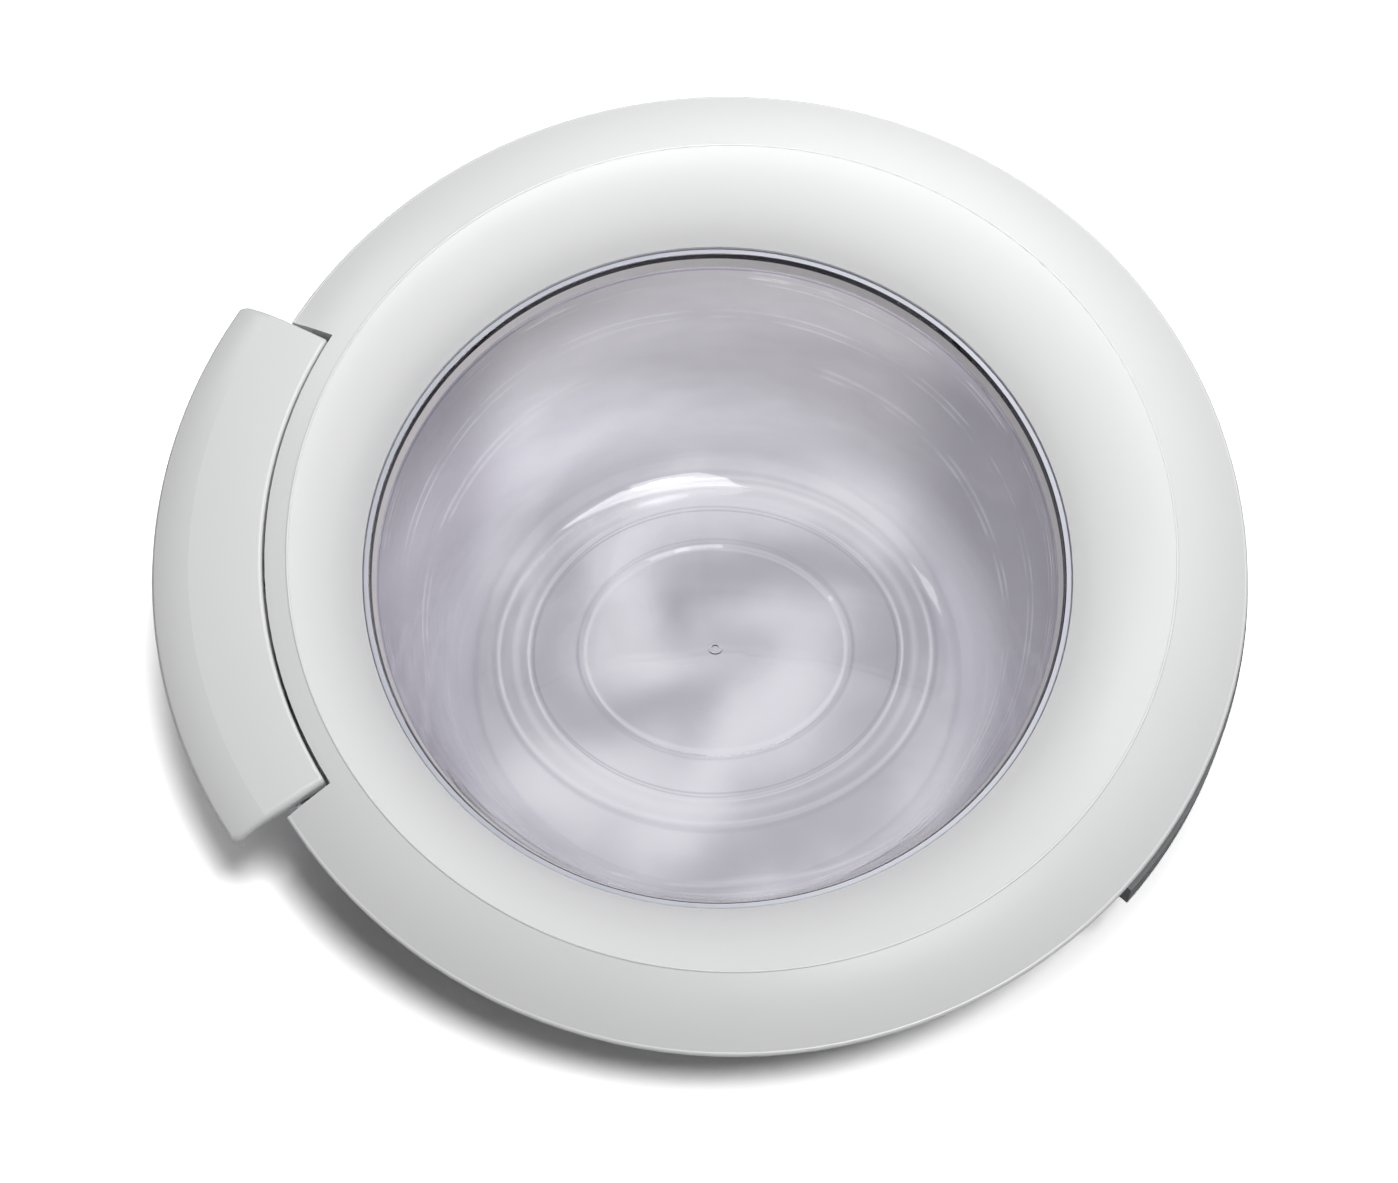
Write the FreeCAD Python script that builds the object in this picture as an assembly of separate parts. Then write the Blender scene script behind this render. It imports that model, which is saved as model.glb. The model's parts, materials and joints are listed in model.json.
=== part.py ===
import FreeCAD, Part
import math
import os

from FreeCAD import Vector

# Door of a front-loading washing machine, in millimetres.
# It is drawn in the door's own frame: the axis of the ring is z, with +z out of the front face,
# the hinge at +x and the handle at -x. The edge of the ring lies at z = 0.
# At the end the door is laid face up on the slanted bottom of its bowl.

# Cover ring
RING_R = 225.0
RIM_ROUND = 1.5
RIM_DEPTH = 8.0
RIM_TUCK = 3.2
BAND_BULGE = 1.0
CREASE_INSET = 32.5
CREASE_Z = 13.2
CREASE_BEAD = 0.6
FUNNEL_BULGE = 3.4
COVER_WALL = 2.5
LIP_WALL = 3.0

# Window, set off the middle of the ring towards the handle
WINDOW_INSET = 67.8
WINDOW_Z = -18.9
WINDOW_X = -6.0
COLLAR_DEPTH = 3.6

# Glass bowl
GLASS_WALL = 5.0
MOUTH_INSET = 4.1
MOUTH_GAP = 0.4
MOUTH_RISE = 3.0
MOUTH_ROUND = 0.5
FLANGE_WIDTH = 14.8
FLANGE_THICK = 5.0
BOWL_TAPER = 17.5
BOWL_DEPTH = 133.0
BOWL_SLANT = 18.0
BOWL_ROUND = 21.0
DISH_INSET = 93.2
DISH_DEPTH = 0.8
PRESS_MARK_R = 3.5
PRESS_MARK_RISE = 0.8

# Rubber ring round the flange
SEAL_WALL = 1.0
SEAL_EDGE = 2.5
SEAL_LAP = 7.5
SEAL_TOP_LAP = 12.0
CLAMP_RIB = 2.5
CLAMP_RIB_IN = 6.8

# Rear frame
REAR_WALL = 2.5
SKIRT_TOP = 4.5
SKIRT_DRAFT = 11.0
SKIRT_GAP = 0.4
REAR_COLLAR_GAP = 5.8
REAR_COLLAR_DEPTH = 12.0

# Screws that join the frames
BOLT_INSET = 39.0
FRAME_SCREW_ANGLES = (40.0, 65.0, 90.0, 115.0, 140.0)
BOSS_R = 4.5
SCREW_R = 1.6
SCREW_HOLE_R = 2.3
SCREW_HEAD_R = 4.0
SCREW_HEAD_HEIGHT = 1.5
SCREW_BITE = 14.0
SCREW_TIP = 2.0

# Rubber buffers on the back
BUFFER_ANGLES = (52.5, 127.5)
BUFFER_R = 7.0
BUFFER_HEIGHT = 5.0
BUFFER_STEM_R = 2.4
BUFFER_TAPER = 0.8

# Notch of the handle
NOTCH_INSET = 22.6
NOTCH_HALF = 31.0
NOTCH_END_WALL = 1.0
NOTCH_FLOOR_Z = -14.0
NOTCH_WALL = 2.5

# Handle, a crescent drawn about its own centre
HANDLE_REACH = 27.8
HANDLE_FLAT = 5.0
HANDLE_GAP = 1.0
HANDLE_DRAFT = 0.6
HANDLE_HALF = 30.4
HANDLE_WALL = 6.0
HANDLE_BEVEL = 17.0
HANDLE_BEVEL_DROP = 7.8
HANDLE_BELLY = 0.42
HANDLE_CROWN = 3.2
HANDLE_SWELL = 0.9
HANDLE_NOSE = 1.5
HANDLE_LIP = 4.0
HANDLE_LIP_DROP = 10.0
HANDLE_CORNER = 6.0
HANDLE_EDGE = 1.5
HANDLE_END_EDGE = 3.0

# Handle pivots
PIVOT_OUT = 4.7
PIVOT_Z = 3.0
PIVOT_PIN_R = 2.0
PIVOT_CLEARANCE = 0.05
PIVOT_LUG_R = 4.0
PIVOT_CHANNEL = 1.0
PIVOT_LUG_Y = 60.0
PIVOT_LUG_WIDTH = 8.0
PIVOT_SIDE_GAP = 0.4
PIVOT_BOSS_WIDTH = 11.6
PIVOT_BOSS_R = 5.0
PIVOT_SCREW_R = 1.2
PIVOT_SCREW_OUT = 1.0
PIVOT_POST_OUT = 3.0
PIVOT_SKIN = 1.0
SPRING_WIRE_R = 0.6
SPRING_TURNS = 5
SPRING_PITCH = 1.6
SPRING_GAP = 0.3

# Latch
LATCH_IN = 1.0
LATCH_Z = -22.5
LATCH_PIN_R = 2.5
LATCH_CLEARANCE = 0.05
LATCH_HEAD_FLARE = 0.4
LATCH_HEAD_WIDTH = 1.0
HOOK_THICK = 8.0
HOOK_EYE_R = 6.0
HOOK_REACH = 38.0
HOOK_SHANK = 8.0
HOOK_NOSE = 9.0
HOOK_NOSE_DEPTH = 8.0
HOOK_HEEL = 3.0
HOOK_TIP = 1.0
HOOK_UNDERCUT = 0.8
HOOK_TAIL_OUT = 1.8
HOOK_TAIL_WIDTH = 3.3
HOOK_TAIL_TOP = -8.5
TRIP_GAP = 0.4
TRIP_WIDTH = 3.3
TRIP_Z = -12.0
TRIP_THICK = 4.5
TRIP_HALF_Y = 5.0
TRIP_ROOT = 2.0
TRIP_SLOT_Y = 8.0
CRADLE_WALL = 1.5
CRADLE_GAP = 0.8
CRADLE_TOP = -17.2
CRADLE_FOOT = 20.0
CRADLE_OUT_X = 7.0
CRADLE_IN_X = 9.0
LATCH_SLOT_X = 10.5

# Hinge
HINGE_INSET = 17.0
HINGE_Z = -40.5
HINGE_PIN_R = 3.0
HINGE_CLEARANCE = 0.05
BUSH_WALL = 2.0
KNUCKLE_WALL = 3.0
KNUCKLE_Y = 26.0
KNUCKLE_WIDTH = 19.7
HINGE_SIDE_GAP = 0.3
LUG_WIDTH = 12.0
LUG_R = 7.5
LUG_ROOT = 2.0
LEAF_HALF_Y = 62.0
LEAF_THICK = 5.0
LEAF_REACH = 46.0
LEAF_GAP = 2.5
LEAF_CORNER = 8.0
LEAF_HOLE_R = 3.2
LEAF_HOLE_PITCH = 96.0
LEAF_HOLE_DROP = 33.0
CARRIER_HALF = 44.5
CARRIER_PROUD = 2.3
CARRIER_DEPTH = 26.0
CARRIER_DRAFT = 0.8
CARRIER_TOP_GAP = 0.5
FOOT_INSET = 43.0
FOOT_THICK = 2.5
HINGE_SCREW_INSET = 37.5
HINGE_PLATE_HALF_X = 7.5
HINGE_PLATE_THICK = 2.0
CLIP_WIDTH = 1.2
CLIP_R = 5.6
CLIP_MOUTH = 3.0
PIN_END = 2.5

# Radii and places that follow from the ring
CREASE_R = RING_R - CREASE_INSET
WINDOW_R = RING_R - WINDOW_INSET
DISH_R = WINDOW_R - DISH_INSET
BOLT_CIRCLE_R = RING_R - BOLT_INSET
NOTCH_R = RING_R - NOTCH_INSET
HANDLE_R = RING_R + HANDLE_FLAT
HANDLE_X = HANDLE_FLAT - HANDLE_REACH
PIVOT_X = -math.sqrt(NOTCH_R ** 2 - PIVOT_LUG_Y ** 2) - PIVOT_OUT
LATCH_X = PIVOT_X + LATCH_IN
HOOK_TAIL_X = -NOTCH_R - HOOK_TAIL_OUT
HINGE_X = RING_R - HINGE_INSET
FOOT_X = RING_R - FOOT_INSET
HINGE_SCREW_X = RING_R - HINGE_SCREW_INSET

# Heights that follow from those sizes
COLLAR_LOW = WINDOW_Z - COLLAR_DEPTH
FLANGE_TOP = COLLAR_LOW - SEAL_WALL
FLANGE_LOW = FLANGE_TOP - FLANGE_THICK
SEAT_Z = FLANGE_LOW - SEAL_WALL
BACK_Z = SEAT_Z - REAR_WALL
FLANGE_R = WINDOW_R + FLANGE_WIDTH
BORE_R = WINDOW_R + REAR_COLLAR_GAP
SKIRT_R = RING_R - RIM_TUCK - COVER_WALL - SKIRT_GAP
SKIRT_SLOPE = SKIRT_DRAFT / (-SKIRT_TOP - BACK_Z)
NOTCH_LOW = NOTCH_FLOOR_Z - NOTCH_WALL
HANDLE_INNER_R = NOTCH_R + HANDLE_GAP
HINGE_LUG_Y = KNUCKLE_Y + KNUCKLE_WIDTH + HINGE_SIDE_GAP
HINGE_LUG_END = HINGE_LUG_Y + LUG_WIDTH
FAR = 400.0
DIAGONAL = math.sqrt(0.5)

Z_AXIS = Vector(0, 0, 1)
Y_AXIS = Vector(0, 1, 0)
X_AXIS = Vector(1, 0, 0)


def rod(radius, low, high, x=0.0, y=0.0):
    """Cylinder along z."""
    return Part.makeCylinder(radius, high - low, Vector(x, y, low), Z_AXIS)


def cross_rod(radius, start, end, x, z):
    """Cylinder along y."""
    return Part.makeCylinder(radius, end - start, Vector(x, start, z), Y_AXIS)


def tube(inner, outer, low, high, x=0.0):
    return rod(outer, low, high, x).cut(rod(inner, low - 1, high + 1, x))


def block(x0, x1, y0, y1, z0, z1):
    return Part.makeBox(x1 - x0, y1 - y0, z1 - z0, Vector(x0, y0, z0))


def turned(shape, degrees):
    """Copy turned about the axis of the ring."""
    copy = shape.copy()
    copy.rotate(Vector(0, 0, 0), Z_AXIS, degrees)
    return copy


def polar(radius, degrees):
    angle = math.radians(degrees)
    return radius * math.cos(angle), radius * math.sin(angle)


def sector(inner, outer, low, high, half, middle):
    """Part of a tube, half degrees to each side of the middle direction."""
    wedge = Part.makeCylinder(outer, high - low, Vector(0, 0, low), Z_AXIS, 2 * half)
    wedge = wedge.cut(rod(inner, low - 1, high + 1))
    return turned(wedge, middle - half)


def joined(shapes):
    return shapes[0].fuse(shapes[1:]).removeSplitter()


def section_wire(steps):
    """Closed wire of (x, z) points at y = 0. A step of two points is an arc by way of the first."""
    edges = []
    here = steps[0]
    for step in steps[1:] + [steps[0]]:
        start = Vector(here[0], 0, here[1])
        if isinstance(step[0], tuple):
            through, here = step
            middle = Vector(through[0], 0, through[1])
            edges.append(Part.Arc(start, middle, Vector(here[0], 0, here[1])).toShape())
        else:
            here = step
            edges.append(Part.LineSegment(start, Vector(here[0], 0, here[1])).toShape())
    return Part.Wire(edges)


def spun(steps, x=0.0, degrees=360.0):
    """Solid of revolution about the vertical line through x."""
    face = Part.Face(section_wire(steps))
    solid = face.revolve(Vector(0, 0, 0), Z_AXIS, degrees)
    solid.translate(Vector(x, 0, 0))
    return solid


def plate_between(steps, y0, y1):
    """Section in x and z given thickness along y."""
    face = Part.Face(section_wire(steps))
    face.translate(Vector(0, y0, 0))
    return face.extrude(Vector(0, y1 - y0, 0))


class Arch:
    """Circular arc in a section, from its two ends and its rise over the chord."""

    def __init__(self, start, end, rise):
        chord = math.dist(start, end)
        radius = (chord ** 2 / 4 + rise ** 2) / (2 * rise)
        along = ((end[0] - start[0]) / chord, (end[1] - start[1]) / chord)
        normal = (-along[1], along[0]) if along[0] > 0 else (along[1], -along[0])
        middle = ((start[0] + end[0]) / 2, (start[1] + end[1]) / 2)
        self.radius = radius
        self.centre = tuple(middle[i] - normal[i] * (radius - rise) for i in (0, 1))
        self.first = math.atan2(start[1] - self.centre[1], start[0] - self.centre[0])
        self.last = math.atan2(end[1] - self.centre[1], end[0] - self.centre[0])

    def at(self, share, sunk=0.0):
        """Point at a share of the way, sunk below the arc."""
        angle = self.first + (self.last - self.first) * share
        reach = self.radius - sunk
        return self.centre[0] + reach * math.cos(angle), self.centre[1] + reach * math.sin(angle)


BAND = Arch((CREASE_R, CREASE_Z), (RING_R - RIM_ROUND, RIM_ROUND), BAND_BULGE)
FUNNEL = Arch((CREASE_R, CREASE_Z), (WINDOW_R, WINDOW_Z), FUNNEL_BULGE)
FUNNEL_SHARES = (-0.15, 0.0, 0.25, 0.5, 0.75, 1.0)
BAND_START = -0.12


def funnel(grown):
    """Space in front of the inner band, grown outwards, with the window below it."""
    wires = []
    for share in FUNNEL_SHARES:
        radius, height = FUNNEL.at(share)
        centre = Vector(WINDOW_X * share, 0, height)
        wires.append(Part.Wire([Part.makeCircle(radius + grown, centre, Z_AXIS)]))
    cone = Part.makeLoft(wires, True)
    return cone.fuse(rod(WINDOW_R + grown, BACK_Z, WINDOW_Z, WINDOW_X))


def cover_blank():
    """Cover ring before it is hollowed, filled in under its front."""
    top = BAND.at(BAND_START)
    shoulder = BAND.at(1.0)
    nose = (RING_R - RIM_ROUND * (1 - DIAGONAL), RIM_ROUND * DIAGONAL)
    outline = [(0, top[1]), top, (BAND.at(0.4), shoulder), (nose, (RING_R, 0.0)),
               (RING_R - RIM_TUCK, -RIM_DEPTH), (0, -RIM_DEPTH)]
    return spun(outline)


def cover_hollow():
    """Space under the cover ring, one wall below its front."""
    top = BAND.at(BAND_START, COVER_WALL)
    shoulder = BAND.at(0.97, COVER_WALL)
    rim = RING_R - RIM_TUCK - COVER_WALL
    outline = [(0, top[1]), top, (BAND.at(0.4, COVER_WALL), shoulder), (rim, -RIM_DEPTH),
               (rim, BACK_Z), (0, BACK_Z)]
    return spun(outline)


def frame_screw_places():
    for side in (1, -1):
        for angle in FRAME_SCREW_ANGLES:
            yield polar(BOLT_CIRCLE_R, side * angle)


def make_front_frame():
    blank = cover_blank()
    inner = rod(CREASE_R, COLLAR_LOW, 0.0)
    under = cover_hollow().cut(funnel(LIP_WALL))
    shell = blank.fuse(inner).cut(funnel(0.0)).cut(under)
    bead = Part.makeTorus(CREASE_R, CREASE_BEAD, Vector(0, 0, CREASE_Z - CREASE_BEAD / 2), Z_AXIS)
    shell = shell.fuse(bead)
    heart = funnel(LIP_WALL / 2)
    rib_in = WINDOW_R + CLAMP_RIB_IN
    inside = [tube(rib_in, rib_in + CLAMP_RIB, COLLAR_LOW, CREASE_Z, WINDOW_X)]
    inside += [rod(BOSS_R, SEAT_Z, CREASE_Z, x, y) for x, y in frame_screw_places()]
    inside = [piece.cut(heart) for piece in inside]
    envelope = blank.fuse(rod(skirt_radius(NOTCH_LOW) - REAR_WALL, NOTCH_LOW, 0.0))
    pocket_half = NOTCH_HALF + NOTCH_END_WALL
    pocket = sector(NOTCH_R - NOTCH_WALL, RING_R + 1, NOTCH_LOW, CREASE_Z, pocket_half, 180.0)
    skirt_room = skirt_radius(-RIM_DEPTH) - REAR_WALL - SKIRT_GAP
    pocket = pocket.common(envelope).cut(tube(skirt_room, FAR, BACK_Z, SKIRT_GAP - SKIRT_TOP))
    shell = shell.fuse(inside + [pocket])
    shell = shell.cut(sector(NOTCH_R, FAR, NOTCH_FLOOR_Z, FAR, NOTCH_HALF, 180.0))
    slot_end = HOOK_TAIL_X + 2 * TRIP_WIDTH + TRIP_GAP
    slot_top = NOTCH_FLOOR_Z + 2 * TRIP_THICK
    slot = block(-RING_R, slot_end, -TRIP_SLOT_Y, TRIP_SLOT_Y, NOTCH_LOW - 1, slot_top)
    shell = shell.cut(slot)
    pilots = [rod(SCREW_R, SEAT_Z - 1, SEAT_Z + SCREW_BITE, x, y) for x, y in frame_screw_places()]
    for x, y in bearing_screw_places():
        pilots.append(rod(PIVOT_SCREW_R, NOTCH_LOW - 1, NOTCH_FLOOR_Z + 1, x, y))
    return shell.cut(pilots).removeSplitter()


def skirt_radius(z):
    return SKIRT_R - SKIRT_SLOPE * (-SKIRT_TOP - z)


def rear_envelope():
    """Rear frame filled in, for cutting what lies against its outside."""
    return spun([(0, -SKIRT_TOP), (SKIRT_R, -SKIRT_TOP), (skirt_radius(BACK_Z), BACK_Z), (0, BACK_Z)])


def buffer_places():
    for side in (1, -1):
        for angle in BUFFER_ANGLES:
            yield polar(BOLT_CIRCLE_R, side * angle)


def hinge_screw_places():
    inset = LUG_WIDTH / 6
    for side in (1, -1):
        for y in (HINGE_LUG_Y + inset, HINGE_LUG_END):
            yield HINGE_SCREW_X, side * y


def latch_screw_places():
    reach = cradle_cheek_y()[1] + CRADLE_FOOT - SCREW_HEAD_R - 1
    for side in (1, -1):
        yield LATCH_X, side * reach


def make_rear_frame():
    within = BORE_R / 2
    outline = [(SKIRT_R, -SKIRT_TOP), (skirt_radius(BACK_Z), BACK_Z), (within, BACK_Z), (within, SEAT_Z),
               (skirt_radius(SEAT_Z) - REAR_WALL, SEAT_Z), (SKIRT_R - REAR_WALL, -SKIRT_TOP)]
    frame = spun(outline)
    frame = frame.cut(rod(BORE_R, BACK_Z - 1, SEAT_Z + 1, WINDOW_X))
    frame = frame.fuse(tube(BORE_R, BORE_R + REAR_WALL, BACK_Z - REAR_COLLAR_DEPTH, SEAT_Z, WINDOW_X))
    holes = [rod(SCREW_HOLE_R, BACK_Z - 1, SEAT_Z + 1, x, y) for x, y in frame_screw_places()]
    holes += [rod(SCREW_HOLE_R, BACK_Z - 1, SEAT_Z + 1, x, y) for x, y in hinge_screw_places()]
    holes += [rod(SCREW_R, BACK_Z - 1, SEAT_Z + 1, x, y) for x, y in latch_screw_places()]
    holes += [rod(BUFFER_STEM_R, BACK_Z - 1, SEAT_Z + 1, x, y) for x, y in buffer_places()]
    half = HOOK_THICK / 2 + CRADLE_GAP
    holes.append(block(LATCH_X - LATCH_SLOT_X, LATCH_X + LATCH_SLOT_X, -half, half, BACK_Z - 1, SEAT_Z + 1))
    return frame.cut(holes).removeSplitter()


def above_slant(depth):
    """Everything over the slanted plane that meets the axis of the bowl at that depth."""
    room = block(-FAR, FAR, -FAR, FAR, 0, FAR)
    room.rotate(Vector(0, 0, 0), X_AXIS, -BOWL_SLANT)
    room.translate(Vector(WINDOW_X, 0, -depth))
    return room


def on_slant(shape, depth):
    """Shape drawn about z = 0, set square on the slanted bottom."""
    shape.rotate(Vector(0, 0, 0), X_AXIS, -BOWL_SLANT)
    shape.translate(Vector(WINDOW_X, 0, -depth))
    return shape


def bowl_form(grown, depth, rounding):
    """Tapered bowl with a slanted, rounded bottom, grown outwards from its inside."""
    taper = math.tan(math.radians(BOWL_TAPER))
    mouth = WINDOW_R - MOUTH_INSET + grown / math.cos(math.radians(BOWL_TAPER))
    high = FLANGE_TOP + 2 * MOUTH_RISE
    low = -2 * BOWL_DEPTH
    low_r = mouth - (FLANGE_TOP - low) * taper
    high_r = mouth + (high - FLANGE_TOP) * taper
    cone = Part.makeCone(low_r, high_r, high - low, Vector(WINDOW_X, 0, low), Z_AXIS)
    form = cone.common(above_slant(depth))
    bottom_edge = min(form.Edges, key=lambda edge: edge.BoundBox.ZMax)
    return form.makeFillet(rounding, [bottom_edge])


def make_glass_bowl():
    inside_depth = BOWL_DEPTH - GLASS_WALL / math.cos(math.radians(BOWL_SLANT))
    outside = bowl_form(GLASS_WALL, BOWL_DEPTH, BOWL_ROUND + GLASS_WALL)
    outside = outside.cut(rod(FAR, FLANGE_LOW, FAR))
    flange = rod(FLANGE_R, FLANGE_LOW, FLANGE_TOP, WINDOW_X)
    mouth = rod(WINDOW_R - MOUTH_GAP, FLANGE_TOP - 1, FLANGE_TOP + MOUTH_RISE, WINDOW_X)
    bowl = outside.fuse([flange, mouth]).cut(bowl_form(0.0, inside_depth, BOWL_ROUND))
    dish = Part.makeCone(DISH_R - 2 * DISH_DEPTH, DISH_R + 2 * DISH_DEPTH, 2 * DISH_DEPTH,
                         Vector(0, 0, -DISH_DEPTH), Z_AXIS)
    bowl = bowl.cut(on_slant(dish, inside_depth)).removeSplitter()
    rim_edges = [edge for edge in bowl.Edges if edge.BoundBox.ZMin > FLANGE_TOP + MOUTH_RISE - 0.01]
    bowl = bowl.makeFillet(MOUTH_ROUND, rim_edges)
    mark = rod(PRESS_MARK_R, -2 * DISH_DEPTH, PRESS_MARK_RISE - DISH_DEPTH)
    mark = mark.cut(rod(PRESS_MARK_R / 2, -DISH_DEPTH, PRESS_MARK_RISE))
    return bowl.fuse(on_slant(mark, inside_depth))


def make_glass_seal():
    outer = FLANGE_R + SEAL_EDGE
    top_in = FLANGE_R - SEAL_TOP_LAP
    low_in = FLANGE_R - SEAL_LAP
    outline = [(top_in, FLANGE_TOP), (FLANGE_R, FLANGE_TOP), (FLANGE_R, FLANGE_LOW), (low_in, FLANGE_LOW),
               (low_in, SEAT_Z), (outer, SEAT_Z), (outer, COLLAR_LOW), (top_in, COLLAR_LOW)]
    return spun(outline, WINDOW_X)


def screw(x, y, under_head, length, shank_r, up=True):
    """Pan-head screw. The head lies below its face when the screw points up."""
    sign = 1 if up else -1
    head_r = shank_r * SCREW_HEAD_R / SCREW_R
    body = Part.makeCylinder(shank_r, length, Vector(x, y, under_head), Z_AXIS * sign)
    head = Part.makeCylinder(head_r, SCREW_HEAD_HEIGHT * shank_r, Vector(x, y, under_head), Z_AXIS * -sign)
    return body.fuse(head).removeSplitter()


def make_frame_screws():
    length = REAR_WALL + SCREW_BITE - 1
    return Part.makeCompound([screw(x, y, BACK_Z, length, SCREW_R) for x, y in frame_screw_places()])


def make_door_buffers():
    buffers = []
    for x, y in buffer_places():
        foot = Vector(x, y, BACK_Z - BUFFER_HEIGHT)
        pad = Part.makeCone(BUFFER_TAPER * BUFFER_R, BUFFER_R, BUFFER_HEIGHT, foot, Z_AXIS)
        buffers.append(pad.fuse(rod(BUFFER_STEM_R, BACK_Z, SEAT_Z + 1, x, y)).removeSplitter())
    return Part.makeCompound(buffers)


def handle_section():
    """Section of the handle in distance from its own centre and height."""
    inner = HANDLE_INNER_R + HANDLE_X - 3 * HANDLE_WALL
    inner_z = BAND.at((HANDLE_INNER_R - CREASE_R) / (RING_R - RIM_ROUND - CREASE_R))[1]
    bevel = HANDLE_R - HANDLE_BEVEL
    bevel_z = inner_z - HANDLE_CROWN
    edge_z = bevel_z - HANDLE_BEVEL_DROP
    crown = Arch((inner, inner_z + HANDLE_SWELL / 3), (bevel, bevel_z), HANDLE_SWELL)
    lip_z = edge_z - HANDLE_LIP_DROP
    lip_in = HANDLE_R - HANDLE_LIP
    mid_bevel = (HANDLE_R - HANDLE_BELLY * HANDLE_BEVEL, bevel_z - HANDLE_BELLY * HANDLE_BEVEL_DROP)
    return [crown.at(0.0), (crown.at(0.5), crown.at(1.0)),
            (mid_bevel, (HANDLE_R - 0.8 * HANDLE_NOSE, edge_z + HANDLE_NOSE)),
            ((HANDLE_R - 0.15 * HANDLE_NOSE, edge_z), (HANDLE_R, edge_z - 1.3 * HANDLE_NOSE)),
            (HANDLE_R - HANDLE_NOSE, lip_z + HANDLE_NOSE),
            ((HANDLE_R - 0.5 * HANDLE_LIP, lip_z), (lip_in, lip_z + HANDLE_NOSE)),
            (lip_in, edge_z - 0.6 * HANDLE_WALL),
            ((lip_in - HANDLE_WALL / 2, bevel_z - 1.25 * HANDLE_WALL), (bevel, bevel_z - HANDLE_WALL)),
            (inner, inner_z - HANDLE_WALL)]


def handle_ends():
    """Wedge that the handle is cut to, with rounded outer corners."""
    wedge = sector(CREASE_R, RING_R + 2 * HANDLE_REACH, -FAR / 10, FAR / 10, HANDLE_HALF, 180.0)
    crescent = rod(HANDLE_R + 1, -FAR / 10, FAR / 10, HANDLE_X)
    blank = wedge.common(crescent)
    corners = []
    for edge in blank.Edges:
        box = edge.BoundBox
        upright = box.XLength < 0.01 and box.YLength < 0.01
        if upright and math.hypot(box.XMin, box.YMin) > RING_R:
            corners.append(edge)
    return blank.makeFillet(HANDLE_CORNER, corners)


def handle_top_edges(body):
    """Edges of the front along the notch, and those across the two ends."""
    along_notch = []
    across_ends = []
    for edge in body.Edges:
        box = edge.BoundBox
        if box.ZMin < PIVOT_Z - 1:
            continue
        middle = edge.valueAt((edge.FirstParameter + edge.LastParameter) / 2)
        at_notch = math.hypot(middle.x, middle.y) < HANDLE_INNER_R + 2 * HANDLE_DRAFT
        if at_notch and box.YLength > HANDLE_R / 2:
            along_notch.append(edge)
        if box.XLength > HANDLE_BEVEL and box.YLength < HANDLE_R / 2:
            across_ends.append(edge)
    return along_notch, across_ends


def pivot_spans():
    """Stretches along y of the lug, the boss and the spring on one side."""
    lug = (PIVOT_LUG_Y, PIVOT_LUG_Y + PIVOT_LUG_WIDTH)
    boss = (lug[1] + PIVOT_SIDE_GAP, lug[1] + PIVOT_SIDE_GAP + PIVOT_BOSS_WIDTH)
    spring_start = boss[1] + SPRING_GAP
    spring = (spring_start, spring_start + SPRING_GAP + coil_length())
    return lug, boss, spring


def mirrored_spans(span):
    return (span, (-span[1], -span[0]))


def channel(span, depth):
    """Space round the pivot axis, open below."""
    radius = PIVOT_LUG_R + PIVOT_CHANNEL
    opening = block(PIVOT_X - radius, PIVOT_X + radius, span[0], span[1], PIVOT_Z - depth, PIVOT_Z)
    return cross_rod(radius, span[0], span[1], PIVOT_X, PIVOT_Z).fuse(opening)


def make_handle():
    sweep = spun(handle_section(), 0.0, 180.0)
    sweep.rotate(Vector(0, 0, 0), Z_AXIS, 90.0)
    sweep.translate(Vector(HANDLE_X, 0, 0))
    slope = HANDLE_DRAFT / CREASE_Z
    plug = Part.makeCone(HANDLE_INNER_R - slope * FAR / 10, HANDLE_INNER_R + slope * FAR / 10, FAR / 5,
                         Vector(0, 0, -FAR / 10), Z_AXIS)
    body = sweep.common(handle_ends()).cut(plug)
    body = body.makeFillet(HANDLE_END_EDGE, handle_top_edges(body)[1])
    body = body.makeFillet(HANDLE_EDGE, handle_top_edges(body)[0])
    lug, boss, spring = pivot_spans()
    skin_z = PIVOT_Z + PIVOT_SKIN
    for span in mirrored_spans(boss):
        column = cross_rod(PIVOT_BOSS_R, span[0], span[1], PIVOT_X, PIVOT_Z - PIVOT_SKIN / 2)
        half = PIVOT_BOSS_R
        neck = block(PIVOT_X - half, PIVOT_X + half, span[0], span[1], PIVOT_Z, skin_z)
        body = body.fuse(column.fuse(neck))
    cuts = []
    for stretch in ((lug[0] - PIVOT_SIDE_GAP, boss[0]), (boss[1], spring[1] + SPRING_GAP)):
        for span in mirrored_spans(stretch):
            cuts.append(channel(span, 4 * PIVOT_LUG_R))
    bore_r = PIVOT_PIN_R + PIVOT_CLEARANCE
    cuts += [cross_rod(bore_r, span[0] - 1, span[1] + 1, PIVOT_X, PIVOT_Z) for span in mirrored_spans(boss)]
    return body.cut(cuts).fuse(trip_arm()).removeSplitter()


def trip_arm():
    """Finger under the handle that pushes the tail of the hook outwards."""
    face = HOOK_TAIL_X + TRIP_GAP
    root = -HANDLE_INNER_R - HANDLE_DRAFT
    root_z = PIVOT_Z + TRIP_ROOT
    low = TRIP_Z + TRIP_THICK
    outline = [(root - TRIP_WIDTH, root_z), (root, root_z), (root, low + TRIP_WIDTH),
               (face + TRIP_WIDTH, low), (face + TRIP_WIDTH, TRIP_Z), (face, TRIP_Z),
               (face, low), (root - TRIP_WIDTH, low + TRIP_WIDTH)]
    return plate_between(outline, -TRIP_HALF_Y, TRIP_HALF_Y)


def bearing_screw_places():
    lug = pivot_spans()[0]
    for side in (1, -1):
        yield PIVOT_X - PIVOT_SCREW_OUT, side * (lug[0] - PIVOT_LUG_WIDTH / 2)


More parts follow.
